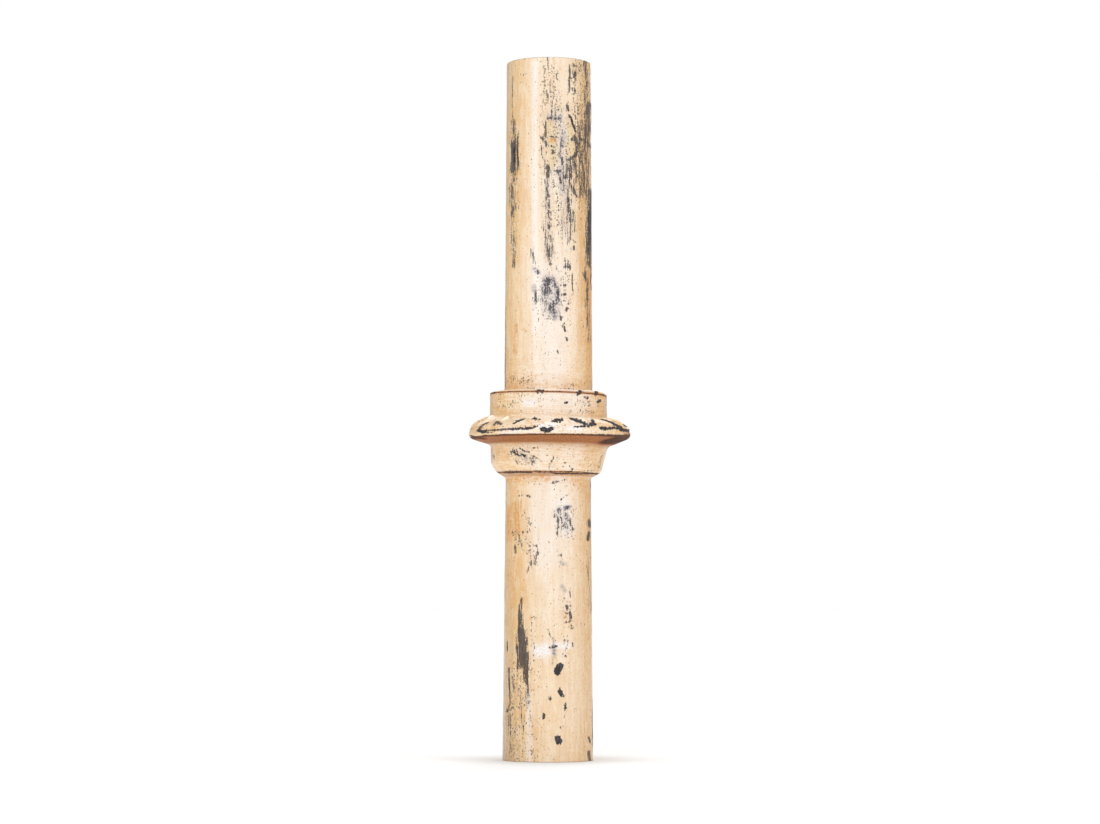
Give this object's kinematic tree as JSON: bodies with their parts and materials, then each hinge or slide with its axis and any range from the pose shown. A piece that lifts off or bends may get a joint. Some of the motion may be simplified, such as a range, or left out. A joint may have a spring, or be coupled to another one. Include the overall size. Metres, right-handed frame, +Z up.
{
  "type": "cast iron column",
  "caption": "Length of round hollow cast iron column shaft with a moulded collar and a ring of leaves at half height, in worn cream paint.",
  "frame": {"origin": "centre of the shaft's lower cut end, where the column stands", "axes": "+Z up along the shaft's axis, front towards -Y, +X to the right as the picture shows it"},
  "size_m": [0.2132, 0.2132, 0.92],
  "materials": {
    "cream_paint_on_iron": "satin"
  },
  "bodies": {
    "root": {"column": "cream_paint_on_iron"}
  },
  "joints": []
}
